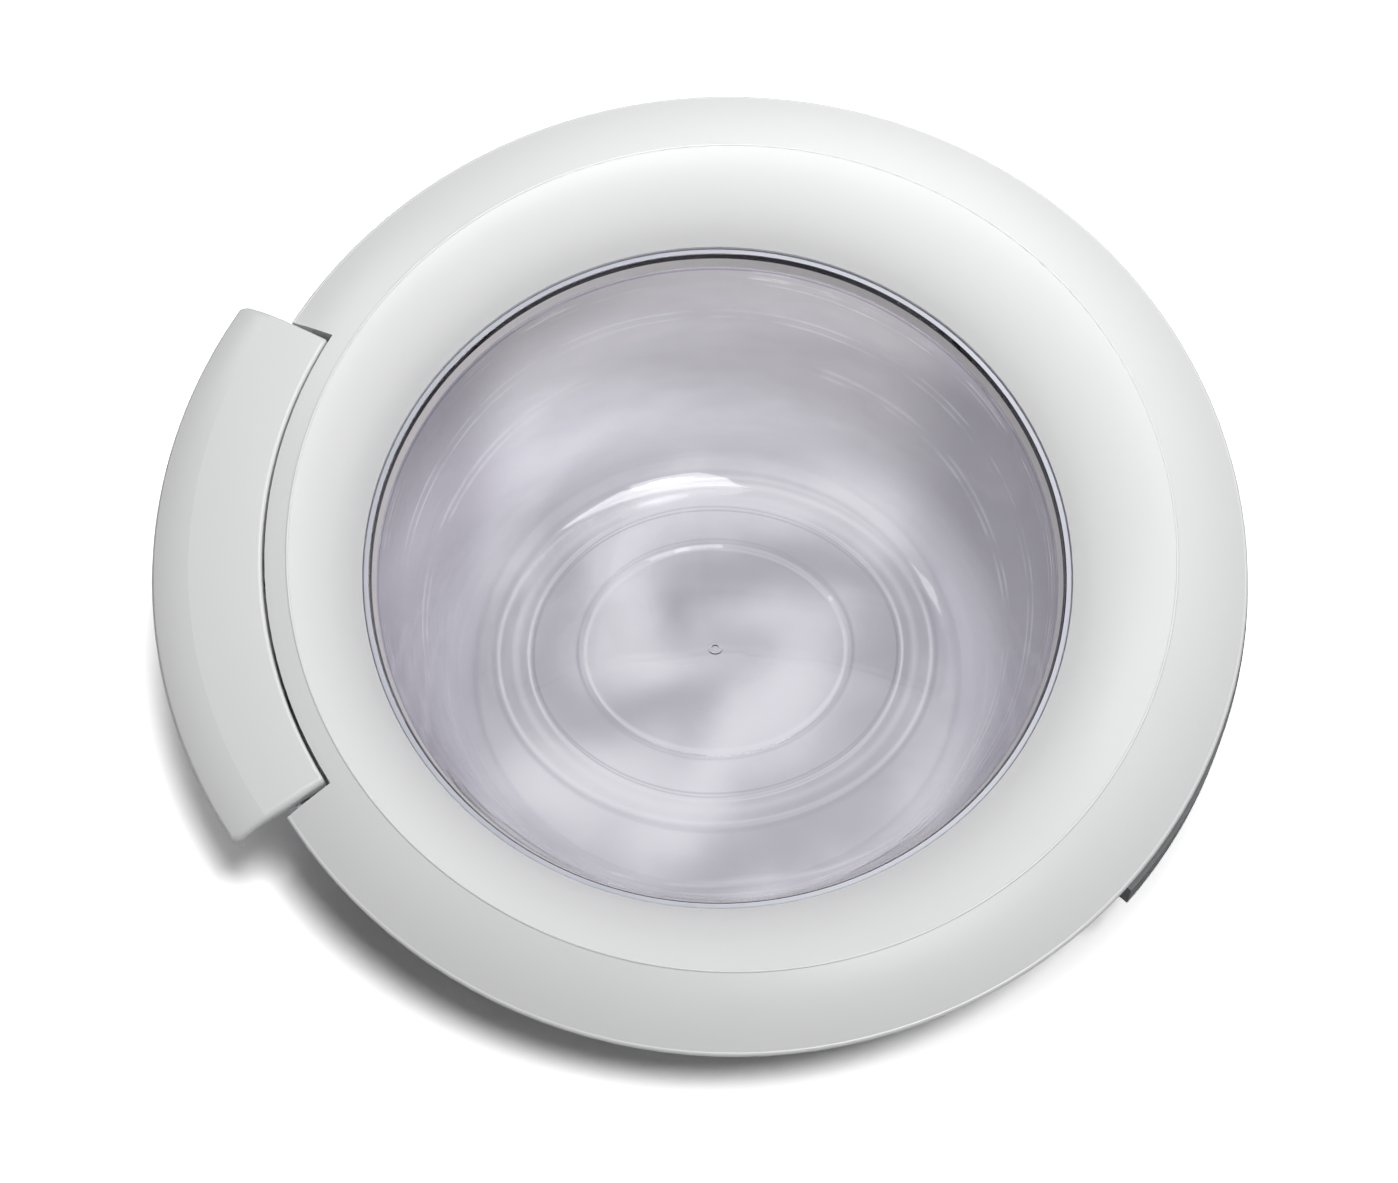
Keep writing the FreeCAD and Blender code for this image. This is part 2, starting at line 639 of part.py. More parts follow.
def make_handle_bearings():
    lug = pivot_spans()[0]
    top = NOTCH_FLOOR_Z + REAR_WALL
    room = sector(NOTCH_R, skirt_radius(NOTCH_LOW) - REAR_WALL, NOTCH_FLOOR_Z, FAR, 2 * NOTCH_HALF, 180.0)
    holes = [rod(PIVOT_SCREW_R, NOTCH_FLOOR_Z - 1, top + 1, x, y) for x, y in bearing_screw_places()]
    out_x = PIVOT_X - PIVOT_POST_OUT
    in_x = PIVOT_X + PIVOT_LUG_R
    bearings = []
    for side in (0, 1):
        y0, y1 = mirrored_spans(lug)[side]
        post = block(out_x, in_x - PIVOT_SKIN / 2, y0, y1, NOTCH_FLOOR_Z, PIVOT_Z)
        post = post.fuse(cross_rod(PIVOT_LUG_R, y0, y1, PIVOT_X, PIVOT_Z))
        reach = mirrored_spans((lug[0] - PIVOT_LUG_WIDTH, lug[1]))[side]
        base = block(out_x, in_x, reach[0], reach[1], NOTCH_FLOOR_Z, top)
        eye = cross_rod(PIVOT_PIN_R, y0 - 1, y1 + 1, PIVOT_X, PIVOT_Z)
        bearings.append(post.fuse(base).common(room).cut(holes + [eye]).removeSplitter())
    return Part.makeCompound(bearings)


def make_bearing_screws():
    top = NOTCH_FLOOR_Z + REAR_WALL
    length = REAR_WALL + NOTCH_WALL + SCREW_TIP
    screws = [screw(x, y, top, length, PIVOT_SCREW_R, False) for x, y in bearing_screw_places()]
    return Part.makeCompound(screws)


def make_handle_pins():
    lug, _, spring = pivot_spans()
    spans = mirrored_spans((lug[0], spring[1]))
    return Part.makeCompound([cross_rod(PIVOT_PIN_R, span[0], span[1], PIVOT_X, PIVOT_Z) for span in spans])


def coil_length():
    return SPRING_PITCH * SPRING_TURNS + 2 * SPRING_WIRE_R


def coil(start, x, z, radius):
    """Closed-wound coil spring along y."""
    height = SPRING_PITCH * SPRING_TURNS
    path = Part.makeHelix(SPRING_PITCH, height, radius)
    wire = Part.Wire([Part.makeCircle(SPRING_WIRE_R, Vector(radius, 0, 0), Y_AXIS)])
    spring = Part.Wire(path.Edges).makePipeShell([wire], True, True)
    spring.rotate(Vector(0, 0, 0), X_AXIS, -90.0)
    spring.translate(Vector(x, start + SPRING_WIRE_R, z))
    return spring


def make_handle_springs():
    spring = pivot_spans()[2]
    radius = PIVOT_PIN_R + SPRING_GAP + SPRING_WIRE_R
    starts = [span[0] for span in mirrored_spans(spring)]
    return Part.makeCompound([coil(start, PIVOT_X, PIVOT_Z, radius) for start in starts])


def make_latch_hook():
    eye = cross_rod(HOOK_EYE_R, -HOOK_THICK / 2, HOOK_THICK / 2, LATCH_X, LATCH_Z)
    half = HOOK_SHANK / 2
    low = LATCH_Z - HOOK_REACH
    nose_x = LATCH_X - half - HOOK_NOSE
    back = LATCH_X + half
    heel = HOOK_HEEL * (1 - DIAGONAL)
    nose_z = low + HOOK_NOSE_DEPTH
    outline = [(LATCH_X - half, LATCH_Z), (back, LATCH_Z), (back, low + HOOK_HEEL),
               ((back - heel, low + heel), (back - HOOK_HEEL, low)), (LATCH_X - half, low),
               (nose_x, nose_z - HOOK_TIP), (nose_x + HOOK_TIP, nose_z),
               (LATCH_X - half, nose_z - HOOK_UNDERCUT)]
    shank = plate_between(outline, -HOOK_THICK / 2, HOOK_THICK / 2)
    tail_in = HOOK_TAIL_X
    tail_out = HOOK_TAIL_X - HOOK_TAIL_WIDTH
    tail = plate_between([(tail_out, HOOK_TAIL_TOP), (tail_in, HOOK_TAIL_TOP), (tail_in, TRIP_Z - TRIP_GAP),
                          (back, LATCH_Z), (LATCH_X - half, LATCH_Z), (tail_out, TRIP_Z - HOOK_HEEL)],
                         -HOOK_THICK / 2, HOOK_THICK / 2)
    bore = cross_rod(LATCH_PIN_R + LATCH_CLEARANCE, -HOOK_THICK, HOOK_THICK, LATCH_X, LATCH_Z)
    return joined([eye, shank, tail]).cut(bore)


def cradle_cheek_y():
    inner = HOOK_THICK / 2 + CRADLE_GAP
    return inner, inner + CRADLE_WALL


def make_latch_cradle():
    inner, outer = cradle_cheek_y()
    x0 = LATCH_X - CRADLE_OUT_X
    x1 = LATCH_X + CRADLE_IN_X
    sides = [block(x0, x1, y0, y1, SEAT_Z, CRADLE_TOP) for y0, y1 in mirrored_spans((inner, outer))]
    for y0, y1 in mirrored_spans((inner, outer + CRADLE_FOOT)):
        sides.append(block(x0, x1, y0, y1, SEAT_Z, SEAT_Z + CRADLE_WALL))
    bridge = block(x1 - CRADLE_WALL, x1, -outer, outer, CRADLE_TOP - 2 * CRADLE_WALL, CRADLE_TOP)
    cradle = joined(sides + [bridge])
    holes = [rod(SCREW_R, SEAT_Z - 1, SEAT_Z + CRADLE_WALL + 1, x, y) for x, y in latch_screw_places()]
    holes.append(cross_rod(LATCH_PIN_R, -2 * outer, 2 * outer, LATCH_X, LATCH_Z))
    return cradle.cut(holes)


def make_latch_pin():
    outer = cradle_cheek_y()[1]
    pin = cross_rod(LATCH_PIN_R, -outer - PIN_END, outer + PIN_END, LATCH_X, LATCH_Z)
    head = cross_rod(LATCH_PIN_R + LATCH_HEAD_FLARE, outer, outer + LATCH_HEAD_WIDTH, LATCH_X, LATCH_Z)
    return pin.fuse(head).removeSplitter()


def make_latch_spring():
    outer = cradle_cheek_y()[1]
    start = -outer - SPRING_GAP - coil_length()
    radius = LATCH_PIN_R + SPRING_GAP + SPRING_WIRE_R
    return coil(start, LATCH_X, LATCH_Z, radius)


def make_latch_screws():
    top = SEAT_Z + CRADLE_WALL
    length = CRADLE_WALL + REAR_WALL + SCREW_TIP
    return Part.makeCompound([screw(x, y, top, length, SCREW_R, False) for x, y in latch_screw_places()])


def make_hinge_carrier():
    top = -RIM_DEPTH - CARRIER_TOP_GAP
    outer = RING_R + CARRIER_PROUD
    outline = [(outer - CARRIER_DRAFT, top), (outer, -CARRIER_DEPTH),
               (skirt_radius(-CARRIER_DEPTH), -CARRIER_DEPTH), (skirt_radius(top), top)]
    arc = turned(spun(outline, 0.0, 2 * CARRIER_HALF), -CARRIER_HALF)
    pieces = [arc]
    for span in mirrored_spans((HINGE_LUG_Y, HINGE_LUG_END)):
        lug = cross_rod(LUG_R, span[0], span[1], HINGE_X, HINGE_Z)
        post = block(HINGE_X - LUG_R, HINGE_X + LUG_R, span[0], span[1], HINGE_Z, LUG_ROOT - CARRIER_DEPTH)
        pieces.append(lug.fuse(post))
    for span in mirrored_spans((HINGE_LUG_Y, HINGE_LUG_END + SCREW_HEAD_R)):
        pieces.append(block(FOOT_X, HINGE_X, span[0], span[1], BACK_Z - FOOT_THICK, BACK_Z))
    carrier = joined(pieces).cut(rear_envelope())
    holes = [rod(SCREW_HOLE_R, BACK_Z - FOOT_THICK - 1, BACK_Z + 1, x, y) for x, y in hinge_screw_places()]
    holes.append(cross_rod(HINGE_PIN_R, -RING_R, RING_R, HINGE_X, HINGE_Z))
    return carrier.cut(holes).removeSplitter()


def make_hinge_plate():
    half_y = HINGE_LUG_END + SCREW_HEAD_R
    plate = block(HINGE_SCREW_X - HINGE_PLATE_HALF_X, HINGE_SCREW_X + HINGE_PLATE_HALF_X, -half_y, half_y,
                  SEAT_Z, SEAT_Z + HINGE_PLATE_THICK)
    top = SEAT_Z + HINGE_PLATE_THICK
    return plate.cut([rod(SCREW_R, SEAT_Z - 1, top + 1, x, y) for x, y in hinge_screw_places()])


def make_hinge_screws():
    head_face = BACK_Z - FOOT_THICK
    length = FOOT_THICK + REAR_WALL + HINGE_PLATE_THICK + SCREW_TIP
    return Part.makeCompound([screw(x, y, head_face, length, SCREW_R) for x, y in hinge_screw_places()])


def make_hinge_pin():
    end = HINGE_LUG_END + CLIP_WIDTH + PIN_END
    return cross_rod(HINGE_PIN_R, -end, end, HINGE_X, HINGE_Z)


def make_hinge_clips():
    clips = []
    for span in mirrored_spans((HINGE_LUG_END, HINGE_LUG_END + CLIP_WIDTH)):
        ring = cross_rod(CLIP_R, span[0], span[1], HINGE_X, HINGE_Z)
        ring = ring.cut(cross_rod(HINGE_PIN_R, span[0] - 1, span[1] + 1, HINGE_X, HINGE_Z))
        half = CLIP_MOUTH / 2
        mouth = block(HINGE_X - half, HINGE_X + half, span[0] - 1, span[1] + 1,
                      HINGE_Z - 2 * CLIP_R, HINGE_Z)
        clips.append(ring.cut(mouth))
    return Part.makeCompound(clips)


def knuckle_spans():
    return mirrored_spans((KNUCKLE_Y, KNUCKLE_Y + KNUCKLE_WIDTH))


def make_hinge_bushes():
    inner = HINGE_PIN_R + HINGE_CLEARANCE
    bushes = []
    for span in knuckle_spans():
        bush = cross_rod(inner + BUSH_WALL, span[0], span[1], HINGE_X, HINGE_Z)
        bushes.append(bush.cut(cross_rod(inner, span[0] - 1, span[1] + 1, HINGE_X, HINGE_Z)))
    return Part.makeCompound(bushes)


def make_hinge_bracket():
    """Leaf that hangs below the pin, with two knuckles and two bolt holes."""
    bore = HINGE_PIN_R + HINGE_CLEARANCE + BUSH_WALL
    half = LEAF_THICK / 2
    top = HINGE_Z - LUG_R - LEAF_GAP
    leaf = block(HINGE_X - half, HINGE_X + half, -LEAF_HALF_Y, LEAF_HALF_Y, HINGE_Z - LEAF_REACH, top)
    upright = [edge for edge in leaf.Edges if edge.BoundBox.XLength > LEAF_THICK - 0.01]
    leaf = leaf.makeFillet(LEAF_CORNER, upright)
    pieces = [leaf]
    for span in knuckle_spans():
        knuckle = cross_rod(bore + KNUCKLE_WALL, span[0], span[1], HINGE_X, HINGE_Z)
        web = block(HINGE_X - half, HINGE_X + half, span[0], span[1], top - LEAF_CORNER, HINGE_Z)
        pieces.append(knuckle.fuse(web))
    bracket = joined(pieces)
    cuts = [cross_rod(bore, span[0] - 1, span[1] + 1, HINGE_X, HINGE_Z) for span in knuckle_spans()]
    for side in (1, -1):
        place = Vector(HINGE_X - LEAF_THICK, side * LEAF_HOLE_PITCH / 2, HINGE_Z - LEAF_HOLE_DROP)
        cuts.append(Part.makeCylinder(LEAF_HOLE_R, 2 * LEAF_THICK, place, X_AXIS))
    return bracket.cut(cuts).removeSplitter()


def laid_down(shape):
    """Door turned so that the slanted bottom of the bowl is level, with its middle at the origin."""
    shape.translate(Vector(-WINDOW_X, 0, BOWL_DEPTH))
    shape.rotate(Vector(0, 0, 0), X_AXIS, BOWL_SLANT)
    return shape


PIECES = {
    "front_frame": make_front_frame,
    "rear_frame": make_rear_frame,
    "glass_bowl": make_glass_bowl,
    "glass_seal": make_glass_seal,
    "frame_screws": make_frame_screws,
    "door_buffers": make_door_buffers,
    "handle": make_handle,
    "handle_bearings": make_handle_bearings,
    "bearing_screws": make_bearing_screws,
    "handle_pins": make_handle_pins,
    "handle_springs": make_handle_springs,
    "latch_hook": make_latch_hook,
    "latch_cradle": make_latch_cradle,
    "latch_pin": make_latch_pin,
    "latch_spring": make_latch_spring,
    "latch_screws": make_latch_screws,
    "hinge_carrier": make_hinge_carrier,
    "hinge_plate": make_hinge_plate,
    "hinge_screws": make_hinge_screws,
    "hinge_pin": make_hinge_pin,
    "hinge_clips": make_hinge_clips,
    "hinge_bushes": make_hinge_bushes,
    "hinge_bracket": make_hinge_bracket,
}

os.makedirs("parts", exist_ok=True)
for name, make in PIECES.items():
    piece = laid_down(make())
    piece.exportStep("parts/" + name + ".step")
    print(name, len(piece.Solids), piece.isValid(), round(piece.Volume))
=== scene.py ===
import json
import math

import bpy
from mathutils import Matrix, Vector


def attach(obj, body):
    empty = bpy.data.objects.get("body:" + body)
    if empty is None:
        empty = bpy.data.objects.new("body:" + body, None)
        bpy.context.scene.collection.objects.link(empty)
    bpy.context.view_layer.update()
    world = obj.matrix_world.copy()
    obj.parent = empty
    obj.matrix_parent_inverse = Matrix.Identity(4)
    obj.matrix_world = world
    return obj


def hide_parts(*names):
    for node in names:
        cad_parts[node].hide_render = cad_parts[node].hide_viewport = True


# Washing machine door, laid face up on the slanted bottom of its glass bowl.
# Lengths are in metres, in the frame of the CAD.

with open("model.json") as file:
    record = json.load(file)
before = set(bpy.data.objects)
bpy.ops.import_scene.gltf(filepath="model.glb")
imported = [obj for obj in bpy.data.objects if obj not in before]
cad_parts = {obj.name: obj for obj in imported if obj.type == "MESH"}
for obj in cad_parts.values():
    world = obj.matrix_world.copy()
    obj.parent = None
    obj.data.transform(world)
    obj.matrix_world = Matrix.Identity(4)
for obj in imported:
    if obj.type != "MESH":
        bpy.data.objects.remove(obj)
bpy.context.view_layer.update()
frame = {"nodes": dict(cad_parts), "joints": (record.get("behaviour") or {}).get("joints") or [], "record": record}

# Glass bowl, in the door's own frame: z is the axis of the ring, +y the deep side of the bowl
WINDOW_X = -0.006
MOUTH_R = 0.1531
MOUTH_OUT_R = 0.1568
FLANGE_R = 0.172
FLANGE_TOP = -0.0235
FLANGE_LOW = -0.0285
MOUTH_RISE = 0.003
MOUTH_ROUND = 0.0005
MOUTH_EASE = 0.3
GLASS_WALL = 0.005
BOWL_DEPTH = 0.133
BOWL_ROUND = 0.021
BOWL_TAPER = math.radians(17.5)
BOWL_STEPS = 288
ROUND_STEPS = 10
SHARP_EDGE = math.radians(20)

# Fine bead along the crease of the ring, about the ring's own axis
CREASE_R = 0.1925
CREASE_UP = 0.0129
CREASE_BEAD = 0.00063
CREASE_STEPS = 480
BEAD_STEPS = 10

# Pressed figure in the middle of the bowl's bottom
DISH_R = 0.064
DISH_SLOPE = 0.0016
DISH_DEPTH = 0.0008
MARK_R = 0.0035

# Tones of the glass, among them painted shade, painted highlights and painted light
WALL_DARK = (0.58, 0.565, 0.605, 1.0)
WALL_PALE = (0.80, 0.785, 0.84, 1.0)
# Painted shade: the wall is darker near the mouth
WALL_TOP_SHADE = (0.37, 0.35, 0.37, 1.0)
# Painted shade on the sides of the wall
WALL_SIDE_SHADE = (0.36, 0.345, 0.405, 1.0)
BOTTOM_DARK = (0.49, 0.485, 0.52, 1.0)
BOTTOM_PALE = (0.80, 0.795, 0.825, 1.0)
GLASS_SHADE = (0.55, 0.545, 0.58, 1.0)
# Pale tone painted below the mouth, painted light over the dark seen through the glass
LIT_BAND_TONE = (0.75, 0.72, 0.74, 1.0)
EDGE_DARK = (0.42, 0.43, 0.49, 1.0)
EDGE_PALE = (0.52, 0.53, 0.59, 1.0)
# Painted highlight lines
GLINT_LINE_TONE = (0.95, 0.95, 0.97, 1.0)
# Painted dark lines, painted shade
SHADE_LINE_TONE = (0.36, 0.35, 0.40, 1.0)
# Painted dark mauve line, painted shade
MAUVE_SHADE_TONE = (0.13, 0.11, 0.22, 1.0)

# Where those tones are: heights from the flange, x squared for the sides, distances from the middle; the top and
# side tones are painted shade
BOTTOM_HEIGHT = 0.05
TOP_HEIGHTS = (-0.045, -0.005)
SIDES_SQUARED = (0.0064, 0.0150)
# How far the wall is painted darker towards +x, painted shade
SIDE_SHADE_FADE = 4.5
TOP_SHARE = 0.8
SIDE_SHARE = 0.7
LOW_SIDE_SHARE = 0.6
# Heights of the pale band painted below the mouth, painted light over the dark seen through the glass
LIT_BAND_LOW = (-0.0052, -0.0040)
LIT_BAND_HIGH = (0.0001, 0.0005)

# Swirls of the bottom: arms, turn per metre, and how far the noise makes them stray
SWIRL_ARMS = 2.0
SWIRL_TURN = 62.0
SWIRL_STRAY = 9.0
CLOUD_STRAY = 2.5
SWIRL_START = (0.004, 0.035)

# Lines painted in the glass, painted highlights and painted shade: distance from the middle of the bottom or
# height from the flange, width, strength
GLINT_RINGS = (
    (0.0620, 0.0016, 0.55),
    (0.0890, 0.0012, 0.60),
    (0.0950, 0.0030, 0.25),
    (0.1030, 0.0016, 0.45),
)
# Painted dark rings, painted shade
SHADE_RINGS = ((0.0655, 0.0016, 0.45), (0.0867, 0.0010, 0.75), (0.1055, 0.0020, 0.45))
# Painted highlight lines along the wall
WALL_GLINT_LINES = (
    (-0.011, 0.0008, 0.9),
    (-0.014, 0.0006, 0.7),
    (-0.036, 0.0012, 0.7),
    (-0.062, 0.0020, 0.6),
)
# Painted dark mauve line below the mouth: height from the flange, width, strength
MAUVE_SHADE_LINE = (-0.0062, 0.0011, 0.85)
RING_WANDER = 0.004
LINE_WANDER = 0.006
LINE_BREAKS = (0.42, 0.60)

# Plain finishes: how far their tones spread, as shares of their level, and how plastic and glass bend light
PLASTIC_SPREAD = (0.975, 1.025)
RUBBER_SPREAD = (0.8, 1.3)
METAL_SPREAD = (0.85, 1.1)
REFRACTION = 1.5

# Floor and studio: the floor is whiter away from the door and painted darker near it, a painted shade that deepens
# its shadow
FLOOR_HALF = 6.0
FLOOR_GAP = 0.0004
FLOOR_LEVEL = 0.70
# Seen tone near the door, lower than far off: painted shade that deepens the door's shadow
FLOOR_SHADE_NEAR = 1.35
FLOOR_FAR = 2.8
FLOOR_FADE = (0.213, 0.268)
FLOOR_UNDER_GLASS = 2.5
FLOOR_THROUGH = 0.55
SKY_TONE = (0.99, 0.99, 1.0, 1.0)
SKY_LOW = 0.01
SKY_HIGH = 0.10
SKY_RISE = (0.45, 1.0)
LIT_POINT = Vector((0.0, 0.0, 0.1))

# Camera, from the ring's outline in the photograph
IMAGE_WIDTH = 1398
FOCAL_PIXELS = 3000
SENSOR = 36.0
VIEW_DISTANCE = 1.3097
VIEW_HEIGHT = math.radians(68.96)
VIEW_ROLL = math.radians(0.78)
VIEW_TURN = math.radians(-3.0)
VIEW_RIGHT = 0.0144
VIEW_UP = 0.0193

# The handle's pins run along y of the door's own frame, so they give the slant of the door
pin_axis = Vector(frame["joints"][0]["axis"])
BOWL_SLANT = math.atan2(pin_axis.z, pin_axis.y)
LAID = Matrix.Rotation(BOWL_SLANT, 4, "X") @ Matrix.Translation((-WINDOW_X, 0, BOWL_DEPTH))


class Value:
    """An output socket in a finish, which can be used in sums."""

    def __init__(self, finish, socket):
        self.finish = finish
        self.socket = socket

    def _sum(self, operation, first, second):
        return self.finish.add("ShaderNodeMath", {"operation": operation}, {0: first, 1: second})

    def __add__(self, other):
        return self._sum("ADD", self, other)

    def __radd__(self, other):
        return self._sum("ADD", other, self)

    def __sub__(self, other):
        return self._sum("SUBTRACT", self, other)

    def __rsub__(self, other):
        return self._sum("SUBTRACT", other, self)

    def __mul__(self, other):
        return self._sum("MULTIPLY", self, other)

    def __rmul__(self, other):
        return self._sum("MULTIPLY", other, self)

    def _ramp(self, low, high, start, end):
        return self.finish.add("ShaderNodeMapRange", {"interpolation_type": "SMOOTHSTEP"}, {
            "Value": self, "From Min": low, "From Max": high, "To Min": start, "To Max": end})

    def over(self, low, high):
        """Share that goes from 0 at the low value to 1 at the high one."""
        return self._ramp(low, high, 0.0, 1.0)

    def near(self, middle, width):
        """Soft line that is 1 at the middle and 0 past the width."""
        away = self.finish.add("ShaderNodeMath", {"operation": "ABSOLUTE"}, {0: self - middle})
        return away._ramp(0.0, width, 1.0, 0.0)


class Finish:
    """A material or a world, and the nodes that make its look."""

    def __init__(self, name, kind=bpy.data.materials):
        self.owner = kind.new(name)
        self.owner.use_nodes = True
        self.tree = self.owner.node_tree
        self.tree.nodes.clear()

    def add(self, kind, settings=None, sockets=None, output=0):
        """A node of that kind. Its settings are set first, then the values or links of its sockets."""
        node = self.tree.nodes.new(kind)
        for name, value in (settings or {}).items():
            setattr(node, name, value)
        for name, value in (sockets or {}).items():
            if isinstance(value, Value):
                self.tree.links.new(value.socket, node.inputs[name])
            else:
                node.inputs[name].default_value = value
        return Value(self, node.outputs[output]) if node.outputs else None

    def place(self):
        return self.add("ShaderNodeTexCoord", output="Object")

    def part(self, vector, axis):
        """One coordinate of a vector."""
        return self.add("ShaderNodeSeparateXYZ", None, {0: vector}, axis)

    def length(self, vector):
        return self.add("ShaderNodeVectorMath", {"operation": "LENGTH"}, {0: vector}, "Value")

    def noise(self, scale, detail=2.0, stretch=(1.0, 1.0, 1.0)):
        """Even noise from 0 to 1 over the piece."""
        vector = self.add("ShaderNodeMapping", None, {"Vector": self.place(), "Scale": stretch})
        return self.add("ShaderNodeTexNoise", None, {"Vector": vector, "Scale": scale, "Detail": detail})

    def blend(self, share, low, high):
        """Colour between two others."""
        settings = {"data_type": "RGBA"}
        return self.add("ShaderNodeMix", settings, {"Factor": share, "A": low, "B": high}, "Result")

    def shades(self, share, level, spread, warm=0.0):
        """Near-grey between two shares of its level."""
        low, high = spread
        return self.blend(share, grey(level * low, warm), grey(level * high, warm))

    def bump(self, height, strength, distance):
        sockets = {"Height": height, "Strength": strength, "Distance": distance}
        return self.add("ShaderNodeBump", None, sockets)

    def coat(self, sockets):
        return self.add("ShaderNodeBsdfPrincipled", None, sockets)

    def ray(self, kind):
        """What the light path says about the ray that meets the surface."""
        return self.add("ShaderNodeLightPath", output=kind)

    def mix(self, share, first, second):
        """Shader between two others."""
        return self.add("ShaderNodeMixShader", None, {0: share, 1: first, 2: second})

    def done(self, shader, output="ShaderNodeOutputMaterial"):
        self.add(output, None, {"Surface": shader})
        return self.owner


def grey(level, warm=0.0):
    """Opaque near-grey, warmer above zero and cooler below it."""
    return (level * (1 + warm), level, level * (1 - warm), 1.0)


def plastic(name, level, rough, warm=0.0):
    """Moulded plastic: an even colour with faint clouds and a fine grain."""
    finish = Finish(name)
    clouds = finish.noise(scale=9.0, detail=3.0)
    grain = finish.noise(scale=1400.0)
    shader = finish.coat({
        "Base Color": finish.shades(clouds, level, PLASTIC_SPREAD, warm),
        "Roughness": rough - 0.04 + 0.08 * clouds,
        "IOR": REFRACTION,
        "Normal": finish.bump(grain, strength=0.05, distance=0.0001),
    })
    return finish.done(shader)


def rubber(name, level):
    """Dull rubber with a little dust."""
    finish = Finish(name)
    dust = finish.noise(scale=60.0, detail=4.0)
    shader = finish.coat({
        "Base Color": finish.shades(dust, level, RUBBER_SPREAD),
        "Roughness": 0.62 + 0.16 * dust,
        "Normal": finish.bump(finish.noise(scale=900.0), strength=0.12, distance=0.0001),
    })
    return finish.done(shader)


def metal(name, level, rough, warm=0.0):
    """Bare or plated metal with brushed streaks."""
    finish = Finish(name)
    streaks = finish.noise(scale=40.0, detail=3.0, stretch=(1.0, 1.0, 18.0))
    shader = finish.coat({
        "Base Color": finish.shades(streaks, level, METAL_SPREAD, warm),
        "Metallic": 1.0,
        "Roughness": rough - 0.06 + 0.12 * streaks,
    })
    return finish.done(shader)


def glass(name):
    """Clear pressed glass: swirls in its bottom with painted highlight rings and painted dark rings, a mauve wall
    painted darker near the mouth and at the sides, with painted highlight lines and a painted dark mauve line, and
    a pale opaque band below the mouth, painted light over the dark seen through it. Light shines through it."""
    finish = Finish(name)
    spot = finish.place()
    swirls = finish.noise(scale=7.0)
    clouds = finish.noise(scale=22.0, detail=3.0, stretch=(1.0, 1.0, 2.5))
    flat = finish.add("ShaderNodeVectorMath", {"operation": "MULTIPLY"}, {0: spot, 1: (1.0, 1.0, 0.0)})
    out = finish.length(flat)
    turned = finish.add("ShaderNodeMapping", None, {"Vector": spot, "Rotation": (-BOWL_SLANT, 0.0, 0.0)})
    height = finish.part(turned, "Z") - (BOWL_DEPTH + FLANGE_TOP)
    side = finish.part(spot, "X")
    angle = finish.add("ShaderNodeMath", {"operation": "ARCTAN2"}, {0: finish.part(spot, "Y"), 1: side})
    phase = SWIRL_ARMS * angle + SWIRL_TURN * out + SWIRL_STRAY * swirls + CLOUD_STRAY * clouds
    wave = finish.add("ShaderNodeMath", {"operation": "SINE"}, {0: phase})
    bands = 0.5 + 0.5 * (wave * out.over(*SWIRL_START))
    bottom = finish.part(spot, "Z").near(0.0, BOTTOM_HEIGHT)
    sides = (side * side).over(*SIDES_SQUARED)

    # Wall tone: random clouds, and painted shade that darkens the wall towards +x
    colour = finish.blend(clouds - SIDE_SHADE_FADE * side, WALL_DARK, WALL_PALE)
    # Painted shade: the wall darkens towards the mouth
    colour = finish.blend(TOP_SHARE * height.over(*TOP_HEIGHTS), colour, WALL_TOP_SHADE)
    # Painted shade: the wall is darker on both sides
    colour = finish.blend(SIDE_SHARE * sides, colour, WALL_SIDE_SHADE)
    colour = finish.blend(bottom, colour, finish.blend(bands, BOTTOM_DARK, BOTTOM_PALE))
    # Painted shade on the sides of the bottom too
    colour = finish.blend(LOW_SIDE_SHARE * sides * bottom, colour, WALL_SIDE_SHADE)
    wavy_out = out + RING_WANDER * (swirls - 0.5)
    # Painted highlight rings and painted dark rings across the bottom
    for rings, tone in ((GLINT_RINGS, GLINT_LINE_TONE), (SHADE_RINGS, SHADE_LINE_TONE)):
        for place, width, strength in rings:
            colour = finish.blend(strength * bottom * wavy_out.near(place, width), colour, tone)
    # Painted highlight lines along the wall, broken by the clouds
    wavy_height = height + LINE_WANDER * (swirls - 0.5)
    broken = clouds.over(*LINE_BREAKS)
    for place, width, strength in WALL_GLINT_LINES:
        colour = finish.blend(strength * broken * wavy_height.near(place, width), colour, GLINT_LINE_TONE)
    # Painted shade: dark mauve line just below the mouth
    place, width, strength = MAUVE_SHADE_LINE
    colour = finish.blend(strength * height.near(place, width), colour, MAUVE_SHADE_TONE)

    pressed = finish.coat({
        "Base Color": colour,
        "Roughness": 0.0,
        "IOR": REFRACTION,
        "Transmission Weight": 1.0,
        "Normal": finish.bump(0.6 * bands + 0.4 * clouds, strength=0.30, distance=0.0012),
    })
    # Pale opaque band just below the mouth: painted light over the dark seen through the glass there
    lit_band_coat = finish.coat({"Base Color": LIT_BAND_TONE, "Roughness": 0.3, "IOR": REFRACTION})
    lit_band = height.over(*LIT_BAND_LOW) * (1.0 - height.over(*LIT_BAND_HIGH))
    clear = finish.add("ShaderNodeBsdfTransparent", None, {"Color": GLASS_SHADE})
    shone_through = finish.ray("Is Shadow Ray") + finish.ray("Is Diffuse Ray")
    return finish.done(finish.mix(shone_through, finish.mix(lit_band, pressed, lit_band_coat), clear))


